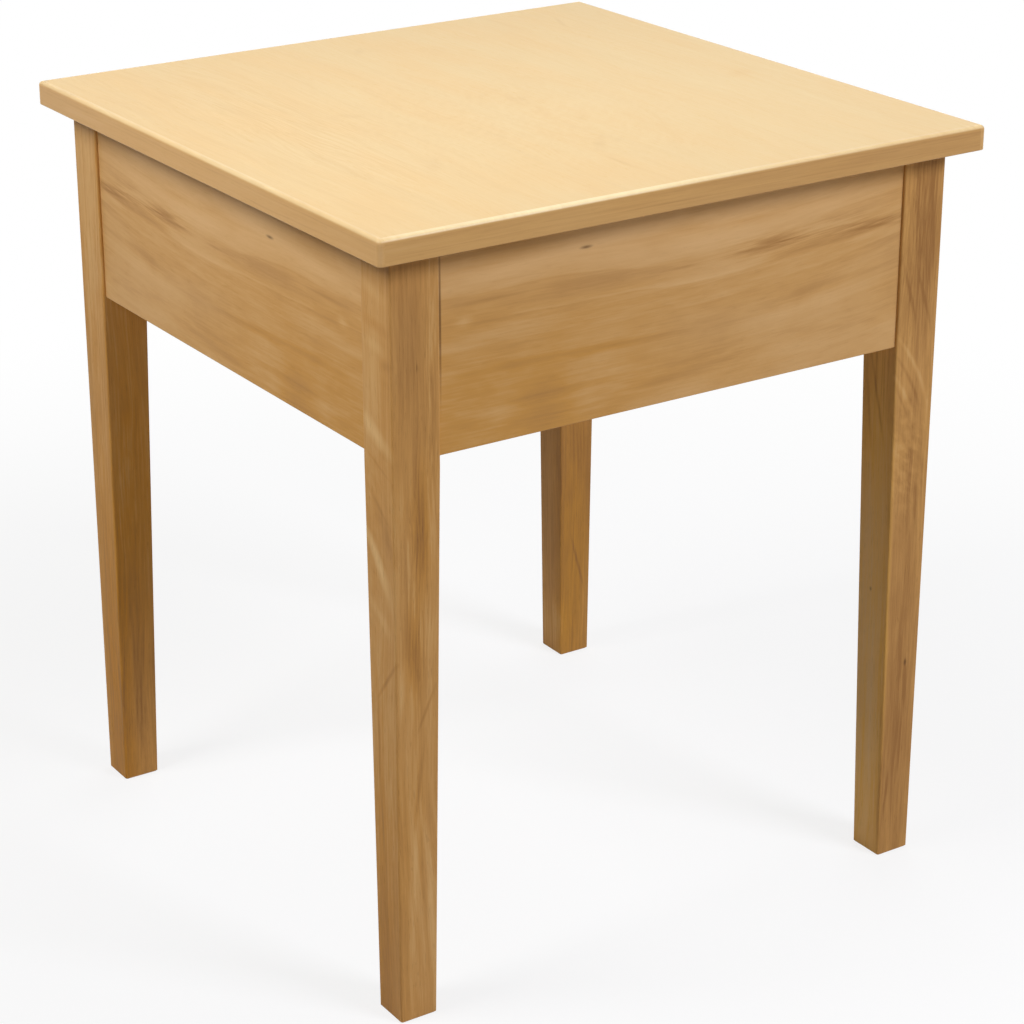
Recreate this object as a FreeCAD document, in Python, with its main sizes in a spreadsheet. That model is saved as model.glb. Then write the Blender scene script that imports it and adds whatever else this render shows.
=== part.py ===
# Square chairside table. A veneered panel with solid edge bands rests on four deep aprons and four
# legs that taper on their inner faces. Corner blocks with hanger bolts draw the legs to the aprons,
# and screwed cleats hold the top down. The origin is on the floor under the middle of the top,
# +Z is up and the front of the table faces -Y.
import FreeCAD, Part
import math
import os
import Sketcher

# Driving sizes in millimetres. A name that ends in share is a fraction of another size.
SIZES = {
    # Whole table
    "table_height": 614.0,
    "top_width": 530.0,
    "top_depth": 530.0,
    "top_overhang": 20.0,
    # Top panel
    "core_thickness": 17.8,
    "veneer_thickness": 0.6,
    "band_thickness": 5.0,
    "band_round": 3.2,
    "band_ease": 0.8,
    "round_limit_share": 0.9,
    # Legs
    "leg_width": 39.0,
    "leg_taper": 8.0,
    "taper_drop": 6.0,
    "leg_flat": 12.0,
    "leg_ease": 1.5,
    "foot_ease": 1.0,
    # Aprons
    "apron_height": 152.0,
    "apron_thickness": 19.0,
    "apron_set_back": 2.5,
    "apron_ease": 1.0,
    # Corner blocks
    "block_height": 100.0,
    "block_thickness": 22.0,
    "block_gap": 2.0,
    "block_screw_inset": 12.0,
    "block_screw_edge": 12.0,
    "block_screw_sink": 1.5,
    "bolt_inset": 28.0,
    # Hanger bolts with their washers and nuts
    "bolt_diameter": 6.0,
    "bolt_bite": 28.0,
    "bolt_point": 5.0,
    "bolt_stick_out": 4.0,
    "bolt_ease": 0.8,
    "bolt_clearance": 0.5,
    "washer_diameter": 16.0,
    "washer_thickness": 1.6,
    "nut_width": 10.0,
    "nut_thickness": 5.0,
    # Cleats under the top
    "cleat_width": 20.0,
    "cleat_height": 20.0,
    "cleat_gap": 15.0,
    "cleat_ease": 1.0,
    # Wood screws and their holes
    "screw_diameter": 4.0,
    "screw_point": 4.0,
    "screw_head_diameter": 8.0,
    "screw_head_height": 2.6,
    "screw_head_round_share": 0.6,
    "screw_bite_share": 0.6,
    "recess_span_share": 0.6,
    "recess_slot_share": 0.16,
    "recess_depth_share": 0.65,
    "hole_clearance": 0.2,
    "hole_end_gap": 1.0,
    # How far a cut runs past the face that it leaves through
    "overrun": 5.0,
}

# Where the screws stand along a cleat, as shares of half its length
CLEAT_SCREW_SHARES = (-0.85, 0.0, 0.85)
TOP_SCREW_SHARES = (-0.42, 0.42)

doc = FreeCAD.newDocument("chairside_table")
sheet = doc.addObject("Spreadsheet::Sheet", "dims")
for row, (name, value) in enumerate(SIZES.items(), start=1):
    sheet.set(f"A{row}", str(value))
    sheet.setAlias(f"A{row}", name)
doc.recompute()

# Sizes that follow from the driving ones
TOP_THICKNESS = "(dims.core_thickness + 2 * dims.veneer_thickness)"
LEG_LENGTH = f"(dims.table_height - {TOP_THICKNESS})"
APRON_LOW = f"({LEG_LENGTH} - dims.apron_height)"
TAPER_TOP = f"({APRON_LOW} - dims.taper_drop)"
FOOT_WIDTH = "(dims.leg_width - dims.leg_taper)"

# The legs' outer faces, measured from the table's middle
HALF_X = "(dims.top_width / 2 - dims.top_overhang)"
HALF_Y = "(dims.top_depth / 2 - dims.top_overhang)"

# The aprons' inner faces and the cleats' middles, measured in from the legs' outer faces
INNER_FACE = "(dims.apron_set_back + dims.apron_thickness)"
CLEAT_MIDDLE = f"({INNER_FACE} + dims.cleat_width / 2)"

# A plane across a corner's diagonal is named by its reach, which is its distance along plus its
# distance in from the leg's outer corner
FLAT_REACH = "(2 * dims.leg_width - dims.leg_flat)"
BLOCK_REACH = f"({FLAT_REACH} + sqrt(2) * dims.block_gap)"
BLOCK_NEAR = f"({BLOCK_REACH} - {INNER_FACE})"
BLOCK_FAR = f"({BLOCK_NEAR} + sqrt(2) * dims.block_thickness)"
BLOCK_RISE = "((dims.apron_height - dims.block_height) / 2)"
BLOCK_LOW = f"({APRON_LOW} + {BLOCK_RISE})"
BOLT_LEVELS = ("dims.bolt_inset", "(dims.block_height - dims.bolt_inset)")
BLOCK_SCREW_LEVELS = ("dims.block_screw_inset", "(dims.block_height - dims.block_screw_inset)")

# Screws: what they pass through, what they bite into, and their holes
SCREW_RADIUS = "(dims.screw_diameter / 2)"
SCREW_HOLE = f"({SCREW_RADIUS} + dims.hole_clearance)"
HEAD_RADIUS = "(dims.screw_head_diameter / 2)"
SEAT_RADIUS = f"({HEAD_RADIUS} + dims.hole_clearance)"
BLOCK_SCREW_AT = f"({BLOCK_NEAR} + dims.block_screw_edge)"
BLOCK_GRIP = f"({BLOCK_FAR} - {BLOCK_SCREW_AT} - {SEAT_RADIUS} - dims.block_screw_sink)"
APRON_BITE = "(dims.screw_bite_share * dims.apron_thickness)"
TOP_BITE = f"(dims.screw_bite_share * {TOP_THICKNESS})"

# Hanger bolts, measured from the leg's flat along the diagonal
BOLT_RADIUS = "(dims.bolt_diameter / 2)"
BOLT_HOLE = f"({BOLT_RADIUS} + dims.hole_clearance)"
WASHER_SEAT = "(dims.block_gap + dims.block_thickness)"
NUT_SEAT = f"({WASHER_SEAT} + dims.washer_thickness)"
BOLT_END = f"({NUT_SEAT} + dims.nut_thickness + dims.bolt_stick_out)"

# The four corners and the four sides in order round the table, each a quarter turn from the last
CORNERS = ("front_left", "front_right", "back_right", "back_left")
CORNER_SIGNS = (("-", "-"), ("", "-"), ("", ""), ("-", ""))
SIDES = ("front", "right", "back", "left")
QUARTER_TURN = 90

subparts = []


def number(expression):
    """The value of an expression on the sheet at this moment."""
    return float(doc.Objects[-1].evalExpression(expression))


def quarter(turns, along, inward):
    """A point or direction of the first corner's frame after some quarter turns, as expressions."""
    turned = (
        (along, inward),
        (f"-({inward})", along),
        (f"-({along})", f"-({inward})"),
        (inward, f"-({along})"),
    )
    return turned[turns]


def corner_point(turns, along, inward):
    """A point given along and in from a leg's outer corner, in the table's frame."""
    x, y = quarter(turns, along, inward)
    sign_x, sign_y = CORNER_SIGNS[turns]
    return f"{sign_x}{HALF_X} + {x}", f"{sign_y}{HALF_Y} + {y}"


def side_half(turns):
    """Half the distance over the legs along a side, and from the middle out to that side."""
    return (HALF_X, HALF_Y) if turns % 2 == 0 else (HALF_Y, HALF_X)


def side_point(turns, along, inward):
    """A point given along a side from its middle and in from the legs' outer faces."""
    return quarter(turns, along, f"({inward} - {side_half(turns)[1]})")


def cleat_half(turns):
    """Half a cleat's length: it stops short of the corner blocks."""
    return f"({side_half(turns)[0]} - {BLOCK_FAR} - dims.cleat_gap)"


def cleat_screw_places(turns):
    """Places along a side of the screws from its cleat into its apron."""
    return [f"{share} * {cleat_half(turns)}" for share in CLEAT_SCREW_SHARES]


def top_screw_places(turns):
    """Places along a side of the screws from its cleat up into the top."""
    return [f"{share} * {cleat_half(turns)}" for share in TOP_SCREW_SHARES]


def turn_to(turns):
    """The rotation that carries the front left corner or the front side to another one."""
    return FreeCAD.Rotation(FreeCAD.Vector(0, 0, 1), turns * QUARTER_TURN)


def place(thing, x, y, z, rotation=FreeCAD.Rotation()):
    """Puts an object at a point that follows the sheet."""
    thing.Placement = FreeCAD.Placement(FreeCAD.Vector(), rotation)
    for axis, expression in zip("xyz", (x, y, z)):
        thing.setExpression(f"Placement.Base.{axis}", expression)


def new_body(label, is_subpart=True):
    """An empty body; a sub-part is one that is written out under its label."""
    body = doc.addObject("PartDesign::Body", label)
    body.Label = label
    if is_subpart:
        subparts.append(body)
    return body


def new_sketch(body, role, lift="0"):
    """A sketch on one of the body's own planes, lifted along that plane's normal."""
    sketch = body.newObject("Sketcher::SketchObject", f"{body.Label}_sketch")
    plane = next(feature for feature in body.Origin.OriginFeatures if feature.Role == role)
    sketch.AttachmentSupport = [(plane, "")]
    sketch.MapMode = "FlatFace"
    sketch.setExpression("AttachmentOffset.Base.z", lift)
    return sketch


def diagonal_sketch(body, reach):
    """A sketch across a corner's diagonal, its normal pointing into the table, at that reach."""
    sketch = new_sketch(body, "XZ_Plane")
    about_upright = FreeCAD.Rotation(FreeCAD.Vector(0, 1, 0), 1.5 * QUARTER_TURN)
    sketch.AttachmentOffset = FreeCAD.Placement(FreeCAD.Vector(), about_upright)
    sketch.setExpression("AttachmentOffset.Base.x", f"{reach} / 2")
    sketch.setExpression("AttachmentOffset.Base.z", f"-{reach} / 2")
    return sketch


def hold(sketch, geometry, point, across, up):
    """Ties one point of a sketch to the sketch's origin by two distances from the sheet."""
    for kind, expression in (("DistanceX", across), ("DistanceY", up)):
        distance = Sketcher.Constraint(kind, -1, 1, geometry, point, number(expression))
        index = sketch.addConstraint(distance)
        sketch.setExpression(f"Constraints[{index}]", expression)


def outline(sketch, points):
    """Closes straight lines through points, each a pair of expressions across and up."""
    places = [FreeCAD.Vector(number(across), number(up), 0) for across, up in points]
    first = sketch.GeometryCount
    for start, end in zip(places, places[1:] + places[:1]):
        sketch.addGeometry(Part.LineSegment(start, end))
    for step, (across, up) in enumerate(points):
        following = first + (step + 1) % len(points)
        sketch.addConstraint(Sketcher.Constraint("Coincident", first + step, 2, following, 1))
        hold(sketch, first + step, 1, across, up)


def rectangle(sketch, left, right, low, high):
    """A rectangle between four expressions."""
    outline(sketch, ((left, low), (right, low), (right, high), (left, high)))


def circle(sketch, across, up, radius):
    """A circle whose centre and radius are expressions."""
    centre = FreeCAD.Vector(number(across), number(up), 0)
    index = sketch.addGeometry(Part.Circle(centre, FreeCAD.Vector(0, 0, 1), number(radius)))
    hold(sketch, index, 3, across, up)
    size = sketch.addConstraint(Sketcher.Constraint("Radius", index, number(radius)))
    sketch.setExpression(f"Constraints[{size}]", radius)


def rounded_square(sketch, low, high, radius):
    """A square between two expressions: four lines that run smoothly into four corner arcs."""
    near = f"({low} + {radius})"
    far = f"({high} - {radius})"
    centres = ((far, near), (far, far), (near, far), (near, near))
    start, from_side, to_side, end = (number(value) for value in (low, near, far, high))
    line_ends = (((from_side, start), (to_side, start)), ((end, from_side), (end, to_side)),
                 ((to_side, end), (from_side, end)), ((start, to_side), (start, from_side)))
    for turns, ((begin, finish), (across, up)) in enumerate(zip(line_ends, centres)):
        sketch.addGeometry(Part.LineSegment(FreeCAD.Vector(*begin, 0), FreeCAD.Vector(*finish, 0)))
        centre = FreeCAD.Vector(number(across), number(up), 0)
        corner = Part.Circle(centre, FreeCAD.Vector(0, 0, 1), number(radius))
        opens = math.radians((turns - 1) * QUARTER_TURN)
        sketch.addGeometry(Part.ArcOfCircle(corner, opens, opens + math.radians(QUARTER_TURN)))
    for line in range(0, sketch.GeometryCount, 2):
        arc = line + 1
        following = (line + 2) % sketch.GeometryCount
        across, up = centres[line // 2]
        sketch.addConstraint(Sketcher.Constraint("Tangent", line, 2, arc, 1))
        sketch.addConstraint(Sketcher.Constraint("Tangent", arc, 2, following, 1))
        hold(sketch, arc, 3, across, up)
        rounding = sketch.addConstraint(Sketcher.Constraint("Radius", arc, number(radius)))
        sketch.setExpression(f"Constraints[{rounding}]", radius)


def loft(body, sections):
    """Straight faces from each section to the next."""
    feature = body.newObject("PartDesign::AdditiveLoft", f"{body.Label}_loft")
    feature.Profile = sections[0]
    feature.Sections = sections[1:]
    feature.Ruled = True


def pad(body, sketch, length):
    """Thickens a sketch along its normal."""
    feature = body.newObject("PartDesign::Pad", f"{body.Label}_pad")
    feature.Profile = sketch
    feature.setExpression("Length", length)


def pocket(body, sketch, depth, along_normal=False):
    """Cuts a sketch into the body against its normal, or along it, and makes sure that it cut."""
    doc.recompute()
    before = body.Shape.Volume
    feature = body.newObject("PartDesign::Pocket", f"{body.Label}_pocket")
    feature.Profile = sketch
    feature.Reversed = along_normal
    feature.setExpression("Length", depth)
    doc.recompute()
    if not body.Shape.Volume < before:
        raise ValueError(f"a pocket of {body.Label} cuts nothing")


def revolve(body, sketch, kind="PartDesign::Revolution"):
    """Turns a sketch once round its upright axis, adding to the body or cutting it."""
    feature = body.newObject(kind, f"{body.Label}_turned")
    feature.Profile = sketch
    feature.ReferenceAxis = (sketch, ["V_Axis"])
    feature.Angle = 4 * QUARTER_TURN


def ease(body, radius, wanted):
    """Rounds the edges whose two ends satisfy a test."""
    doc.recompute()
    base = body.Tip
    names = []
    for index, edge in enumerate(base.Shape.Edges, start=1):
        if wanted(edge.firstVertex().Point, edge.lastVertex().Point):
            names.append(f"Edge{index}")
    feature = body.newObject("PartDesign::Fillet", f"{body.Label}_ease")
    feature.Base = (base, names)
    feature.setExpression("Radius", radius)


def same(first, second):
    """True where two lengths agree to within modelling precision."""
    return abs(first - second) < Part.Precision.confusion()


def make_panel(label, thickness, rise):
    """One flat layer of the top, inside the edge bands, at a height above the panel's underside."""
    body = new_body(label)
    half_width = "(dims.top_width / 2 - dims.band_thickness)"
    half_depth = "(dims.top_depth / 2 - dims.band_thickness)"
    sketch = new_sketch(body, "XY_Plane")
    rectangle(sketch, f"-{half_width}", half_width, f"-{half_depth}", half_depth)
    pad(body, sketch, thickness)
    place(body, "0", "0", f"{LEG_LENGTH} + {rise}")
    return body


def drill_top_screws(body, depth):
    """Holes in a layer's underside for the screws that come up through the cleats."""
    sketch = new_sketch(body, "XY_Plane")
    for turns in range(len(SIDES)):
        for along in top_screw_places(turns):
            x, y = side_point(turns, along, CLEAT_MIDDLE)
            circle(sketch, x, y, SCREW_HOLE)
    pocket(body, sketch, depth, along_normal=True)


def make_band(turns):
    """One edge band; the side bands run the full depth and cover the ends of the other two."""
    body = new_body(f"edge_band_{SIDES[turns]}")
    is_side = turns % 2 == 1
    half_length = "(dims.top_depth / 2)" if is_side else "(dims.top_width / 2 - dims.band_thickness)"
    sketch = new_sketch(body, "XY_Plane")
    rectangle(sketch, f"-{half_length}", half_length, "0", "dims.band_thickness")
    pad(body, sketch, TOP_THICKNESS)
    top = number(TOP_THICKNESS)
    inside = number("dims.band_thickness")

    def is_upper(start, end):
        on_top = same(start.z, top) and same(end.z, top)
        on_face = same(start.y, 0) and same(end.y, 0)
        on_end = is_side and same(start.x, end.x)
        return on_top and (on_face or on_end) or (on_face and on_end)

    def is_lower(start, end):
        on_underside = same(start.z, 0) and same(end.z, 0)
        on_panel = same(start.y, inside) and same(end.y, inside)
        on_joint = not is_side and same(start.x, end.x)
        return on_underside and not on_panel and not on_joint

    ease(body, "min(dims.band_round; dims.round_limit_share * dims.band_thickness)", is_upper)
    ease(body, "min(dims.band_ease; dims.round_limit_share * dims.band_thickness)", is_lower)
    half_out = "dims.top_depth / 2" if turns % 2 == 0 else "dims.top_width / 2"
    x, y = quarter(turns, "0", f"-{half_out}")
    place(body, x, y, LEG_LENGTH, turn_to(turns))


def make_leg(turns):
    """A square leg with two tapered inner faces, a flat on its inner corner and two bolt holes."""
    body = new_body(f"leg_{CORNERS[turns]}")
    stations = (
        ("dims.foot_ease", f"({FOOT_WIDTH} - dims.foot_ease)", "0"),
        ("0", FOOT_WIDTH, "dims.foot_ease"),
        ("0", "dims.leg_width", TAPER_TOP),
        ("0", "dims.leg_width", LEG_LENGTH),
    )
    sections = []
    for low, high, level in stations:
        section = new_sketch(body, "XY_Plane", level)
        rounded_square(section, low, high, "dims.leg_ease")
        sections.append(section)
    loft(body, sections)

    flat = new_sketch(body, "XY_Plane", APRON_LOW)
    flat_start = "(dims.leg_width - dims.leg_flat)"
    outline(flat, (("dims.leg_width", flat_start), ("dims.leg_width", "dims.leg_width"),
                   (flat_start, "dims.leg_width")))
    pocket(body, flat, "dims.apron_height", along_normal=True)

    bolts = diagonal_sketch(body, FLAT_REACH)
    for level in BOLT_LEVELS:
        circle(bolts, "0", f"{BLOCK_LOW} + {level}", BOLT_HOLE)
    pocket(body, bolts, "dims.bolt_bite + dims.hole_end_gap")
    place(body, *corner_point(turns, "0", "0"), "0", turn_to(turns))


def make_apron(turns):
    """A deep board between two legs, drilled inside for the block screws and the cleat screws."""
    body = new_body(f"apron_{SIDES[turns]}")
    half = side_half(turns)[0]
    half_length = f"({half} - dims.leg_width)"
    sketch = new_sketch(body, "XY_Plane")
    rectangle(sketch, f"-{half_length}", half_length, "0", "dims.apron_thickness")
    pad(body, sketch, "dims.apron_height")
    ease(body, "dims.apron_ease", lambda start, end: same(start.z, 0) and same(end.z, 0)
         and not same(start.x, end.x))

    holes = new_sketch(body, "XZ_Plane", "-dims.apron_thickness")
    for sign in ("-", ""):
        for level in BLOCK_SCREW_LEVELS:
            circle(holes, f"{sign}({half} - {BLOCK_SCREW_AT})", f"{BLOCK_RISE} + {level}", SCREW_HOLE)
    for along in cleat_screw_places(turns):
        circle(holes, along, "dims.apron_height - dims.cleat_height / 2", SCREW_HOLE)
    pocket(body, holes, f"{APRON_BITE} + dims.hole_end_gap", along_normal=True)
    place(body, *side_point(turns, "0", "dims.apron_set_back"), APRON_LOW, turn_to(turns))


def make_corner_block(turns):
    """A block across an inner corner, with two bolt holes and two counterbored screws each way."""
    body = new_body(f"corner_block_{CORNERS[turns]}")
    sketch = new_sketch(body, "XY_Plane")
    outline(sketch, ((BLOCK_NEAR, INNER_FACE), (BLOCK_FAR, INNER_FACE),
                     (INNER_FACE, BLOCK_FAR), (INNER_FACE, BLOCK_NEAR)))
    pad(body, sketch, "dims.block_height")

    bolts = diagonal_sketch(body, BLOCK_REACH)
    for level in BOLT_LEVELS:
        circle(bolts, "0", level, f"({BOLT_RADIUS} + dims.bolt_clearance)")
    pocket(body, bolts, "dims.block_thickness + dims.overrun", along_normal=True)

    for role, sign, along_normal in (("XZ_Plane", "-", False), ("YZ_Plane", "", True)):
        shank_and_seat = ((INNER_FACE, SCREW_HOLE), (f"({INNER_FACE} + {BLOCK_GRIP})", SEAT_RADIUS))
        for lift, radius in shank_and_seat:
            holes = new_sketch(body, role, f"{sign}{lift}")
            for level in BLOCK_SCREW_LEVELS:
                circle(holes, BLOCK_SCREW_AT, level, radius)
            pocket(body, holes, BLOCK_FAR, along_normal)
    place(body, *corner_point(turns, "0", "0"), BLOCK_LOW, turn_to(turns))


def make_cleat(turns):
    """A square strip along the inside of an apron, drilled for screws both ways."""
    body = new_body(f"top_cleat_{SIDES[turns]}")
    half_length = cleat_half(turns)
    sketch = new_sketch(body, "XY_Plane", "-dims.cleat_height")
    rectangle(sketch, f"-{half_length}", half_length, "0", "dims.cleat_width")
    pad(body, sketch, "dims.cleat_height")
    low = -number("dims.cleat_height")
    ease(body, "dims.cleat_ease", lambda start, end: same(start.z, low) and same(end.z, low)
         and not same(start.x, end.x) and start.y > 0)

    level_holes = new_sketch(body, "XZ_Plane")
    for along in cleat_screw_places(turns):
        circle(level_holes, along, "-dims.cleat_height / 2", SCREW_HOLE)
    pocket(body, level_holes, "dims.cleat_width + dims.overrun")

    upright_holes = new_sketch(body, "XY_Plane", "-dims.cleat_height")
    for along in top_screw_places(turns):
        circle(upright_holes, along, "dims.cleat_width / 2", SCREW_HOLE)
    pocket(body, upright_holes, "dims.cleat_height + dims.overrun", along_normal=True)
    place(body, *side_point(turns, "0", INNER_FACE), LEG_LENGTH, turn_to(turns))


def make_screw(label, length):
    """A pan head wood screw with a cross recess, its point down and its head's seat at zero."""
    body = new_body(label, is_subpart=False)
    profile = new_sketch(body, "XZ_Plane")
    head = "dims.screw_head_height"
    outline(profile, (("0", f"-{length}"), (SCREW_RADIUS, f"dims.screw_point - {length}"),
                      (SCREW_RADIUS, "0"), (HEAD_RADIUS, "0"), (HEAD_RADIUS, head), ("0", head)))
    revolve(body, profile)
    rim = FreeCAD.Vector(number(HEAD_RADIUS), 0, number(head))
    ease(body, f"dims.screw_head_round_share * {head}",
         lambda start, end: start.isEqual(rim, Part.Precision.confusion()) and start.isEqual(end, 0))

    recess = new_sketch(body, "XY_Plane", head)
    arm = f"(dims.recess_span_share * {HEAD_RADIUS})"
    slot = f"(dims.recess_slot_share * {HEAD_RADIUS})"
    quadrant = ((arm, slot), (slot, slot), (slot, arm))
    cross = []
    for turns in range(len(SIDES)):
        for along, inward in quadrant:
            cross.append(quarter(turns, along, inward))
    outline(recess, cross)
    pocket(body, recess, f"dims.recess_depth_share * {head}")
    return body


def make_hanger_bolt():
    """A hanger bolt: a point that screws into the leg, a plain stem and a machine end for the nut."""
    body = new_body("hanger_bolt", is_subpart=False)
    profile = new_sketch(body, "XZ_Plane")
    outline(profile, (("0", "-dims.bolt_bite"), (BOLT_RADIUS, "dims.bolt_point - dims.bolt_bite"),
                      (BOLT_RADIUS, f"{BOLT_END} - dims.bolt_ease"),
                      (f"{BOLT_RADIUS} - dims.bolt_ease", BOLT_END), ("0", BOLT_END)))
    revolve(body, profile)
    return body


def make_washer():
    """A flat washer lying on its seat."""
    body = new_body("hanger_bolt_washer", is_subpart=False)
    sketch = new_sketch(body, "XY_Plane")
    circle(sketch, "0", "0", "dims.washer_diameter / 2")
    circle(sketch, "0", "0", BOLT_HOLE)
    pad(body, sketch, "dims.washer_thickness")
    return body


def make_nut():
    """A hexagon nut with its outer corners turned off."""
    body = new_body("hanger_bolt_nut", is_subpart=False)
    corner = "(dims.nut_width / sqrt(3))"
    flat = "(dims.nut_width / 2)"
    sketch = new_sketch(body, "XY_Plane")
    outline(sketch, ((corner, "0"), (f"{corner} / 2", flat), (f"-{corner} / 2", flat),
                     (f"-{corner}", "0"), (f"-{corner} / 2", f"-{flat}"), (f"{corner} / 2", f"-{flat}")))
    circle(sketch, "0", "0", BOLT_HOLE)
    pad(body, sketch, "dims.nut_thickness")
    turned_off = new_sketch(body, "XZ_Plane")
    outline(turned_off, ((flat, "dims.nut_thickness"), (corner, "dims.nut_thickness"),
                         (corner, f"dims.nut_thickness - ({corner} - {flat}) / sqrt(3)")))
    revolve(body, turned_off, "PartDesign::Groove")
    return body


def make_group(label, pattern, places):
    """Copies of one fastener as a single sub-part: each place is a point and the way its top faces."""
    links = []
    for x, y, z, facing in places:
        link = doc.addObject("App::Link", f"{label}_copy")
        link.LinkedObject = pattern
        place(link, x, y, z, FreeCAD.Rotation(FreeCAD.Vector(0, 0, 1), FreeCAD.Vector(*facing)))
        links.append(link)
    group = doc.addObject("Part::Compound", label)
    group.Label = label
    group.Links = links
    subparts.append(group)


def facing_after(turns, along, inward):
    """A level direction of the first corner after some quarter turns."""
    direction = turn_to(turns).multVec(FreeCAD.Vector(along, inward, 0))
    return direction.x, direction.y, direction.z


def bolt_places(distance):
    """The places along every hanger bolt at a distance from the leg's flat."""
    places = []
    for turns in range(len(CORNERS)):
        step = f"({FLAT_REACH} / 2 + {distance} / sqrt(2))"
        for level in BOLT_LEVELS:
            x, y = corner_point(turns, step, step)
            places.append((x, y, f"{BLOCK_LOW} + {level}", facing_after(turns, 1, 1)))
    return places


def block_screw_places():
    """The seats of the screws that hold the corner blocks to the aprons."""
    places = []
    seat = f"({INNER_FACE} + {BLOCK_GRIP})"
    for turns in range(len(CORNERS)):
        for level in BLOCK_SCREW_LEVELS:
            height = f"{BLOCK_LOW} + {level}"
            x, y = corner_point(turns, BLOCK_SCREW_AT, seat)
            places.append((x, y, height, facing_after(turns, 0, 1)))
            x, y = corner_point(turns, seat, BLOCK_SCREW_AT)
            places.append((x, y, height, facing_after(turns, 1, 0)))
    return places


def cleat_screw_seats():
    """The seats of the screws that hold the cleats to the aprons."""
    places = []
    height = f"{LEG_LENGTH} - dims.cleat_height / 2"
    for turns in range(len(SIDES)):
        for along in cleat_screw_places(turns):
            x, y = side_point(turns, along, f"({INNER_FACE} + dims.cleat_width)")
            places.append((x, y, height, facing_after(turns, 0, 1)))
    return places


def top_screw_seats():
    """The seats of the screws that come up through the cleats into the top."""
    places = []
    height = f"{LEG_LENGTH} - dims.cleat_height"
    for turns in range(len(SIDES)):
        for along in top_screw_places(turns):
            x, y = side_point(turns, along, CLEAT_MIDDLE)
            places.append((x, y, height, (0, 0, -1)))
    return places


# The top, from its underside up
back_veneer = make_panel("top_back_veneer", "dims.veneer_thickness", "0")
drill_top_screws(back_veneer, "dims.veneer_thickness + dims.overrun")
core = make_panel("top_core", "dims.core_thickness", "dims.veneer_thickness")
drill_top_screws(core, f"{TOP_BITE} - dims.veneer_thickness + dims.hole_end_gap")
make_panel("top_face_veneer", "dims.veneer_thickness", "dims.veneer_thickness + dims.core_thickness")

# The woodwork that goes round the table
for quarter_turns in range(len(SIDES)):
    make_band(quarter_turns)
    make_leg(quarter_turns)
    make_apron(quarter_turns)
    make_corner_block(quarter_turns)
    make_cleat(quarter_turns)

# The fasteners, each kind in one group
make_group("hanger_bolts", make_hanger_bolt(), bolt_places("0"))
make_group("hanger_bolt_washers", make_washer(), bolt_places(WASHER_SEAT))
make_group("hanger_bolt_nuts", make_nut(), bolt_places(NUT_SEAT))
make_group("corner_block_screws", make_screw("block_screw", f"({BLOCK_GRIP} + {APRON_BITE})"),
           block_screw_places())
make_group("cleat_screws", make_screw("cleat_screw", f"(dims.cleat_width + {APRON_BITE})"),
           cleat_screw_seats())
make_group("top_screws", make_screw("top_screw", f"(dims.cleat_height + {TOP_BITE})"),
           top_screw_seats())

doc.recompute()
for thing in doc.Objects:
    if "Invalid" in thing.State or "Error" in thing.State:
        raise ValueError(f"{thing.Label} failed: {thing.State}")
for thing in subparts:
    if thing.Shape.isNull() or not thing.Shape.isValid():
        raise ValueError(f"{thing.Label} has no valid shape")

os.makedirs("parts", exist_ok=True)
for thing in subparts:
    thing.Shape.exportStep(os.path.join("parts", f"{thing.Label}.step"))
print(len(subparts), "sub-parts,", sum(len(thing.Shape.Solids) for thing in subparts), "solids")
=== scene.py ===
# A square chairside table: pale veneered top, solid edge bands, deep aprons and tapered legs.
# The sections follow the bench: frame boards first, then blocks, legs and bolts, then the top.
import itertools
import math

import bpy
import numpy as np
from mathutils import Matrix, Vector


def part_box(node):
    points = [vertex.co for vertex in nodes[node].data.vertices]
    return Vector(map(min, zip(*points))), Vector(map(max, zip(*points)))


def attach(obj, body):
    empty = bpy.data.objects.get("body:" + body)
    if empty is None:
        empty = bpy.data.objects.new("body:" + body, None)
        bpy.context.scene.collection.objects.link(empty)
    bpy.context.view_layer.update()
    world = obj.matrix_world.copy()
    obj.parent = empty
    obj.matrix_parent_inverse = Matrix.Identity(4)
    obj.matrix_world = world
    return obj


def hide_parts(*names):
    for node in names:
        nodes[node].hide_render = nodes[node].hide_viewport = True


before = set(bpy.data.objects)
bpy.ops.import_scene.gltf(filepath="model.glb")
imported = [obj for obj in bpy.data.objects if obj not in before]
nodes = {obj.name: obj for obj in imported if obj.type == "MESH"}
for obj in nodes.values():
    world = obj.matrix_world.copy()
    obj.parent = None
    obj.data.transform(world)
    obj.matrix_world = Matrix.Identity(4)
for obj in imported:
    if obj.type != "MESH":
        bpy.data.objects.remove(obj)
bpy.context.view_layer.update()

# Aprons
# Four deep boards of plain-sawn hardwood, planed, butted between the legs and clear lacquered.
# The front and left boards come from one plank, opened like a book at the near corner.


def put(tree, kind, inputs=None, **settings):
    """Adds a node, sets its properties, and fills its inputs with values or with other sockets."""
    made = tree.nodes.new(kind)
    for name, value in settings.items():
        setattr(made, name, value)
    for socket, value in (inputs or {}).items():
        if isinstance(value, bpy.types.NodeSocket):
            tree.links.new(value, made.inputs[socket])
        else:
            made.inputs[socket].default_value = value
    return made


def reckon(tree, operation, *terms, clamp=False):
    """One step of arithmetic on numbers and sockets."""
    inputs = dict(enumerate(terms))
    return put(tree, "ShaderNodeMath", inputs, operation=operation, use_clamp=clamp).outputs[0]


def reckon_points(tree, operation, *terms):
    """One step of arithmetic on points and directions."""
    made = put(tree, "ShaderNodeVectorMath", dict(enumerate(terms)), operation=operation)
    return made.outputs["Value" if operation == "LENGTH" else "Vector"]


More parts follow.
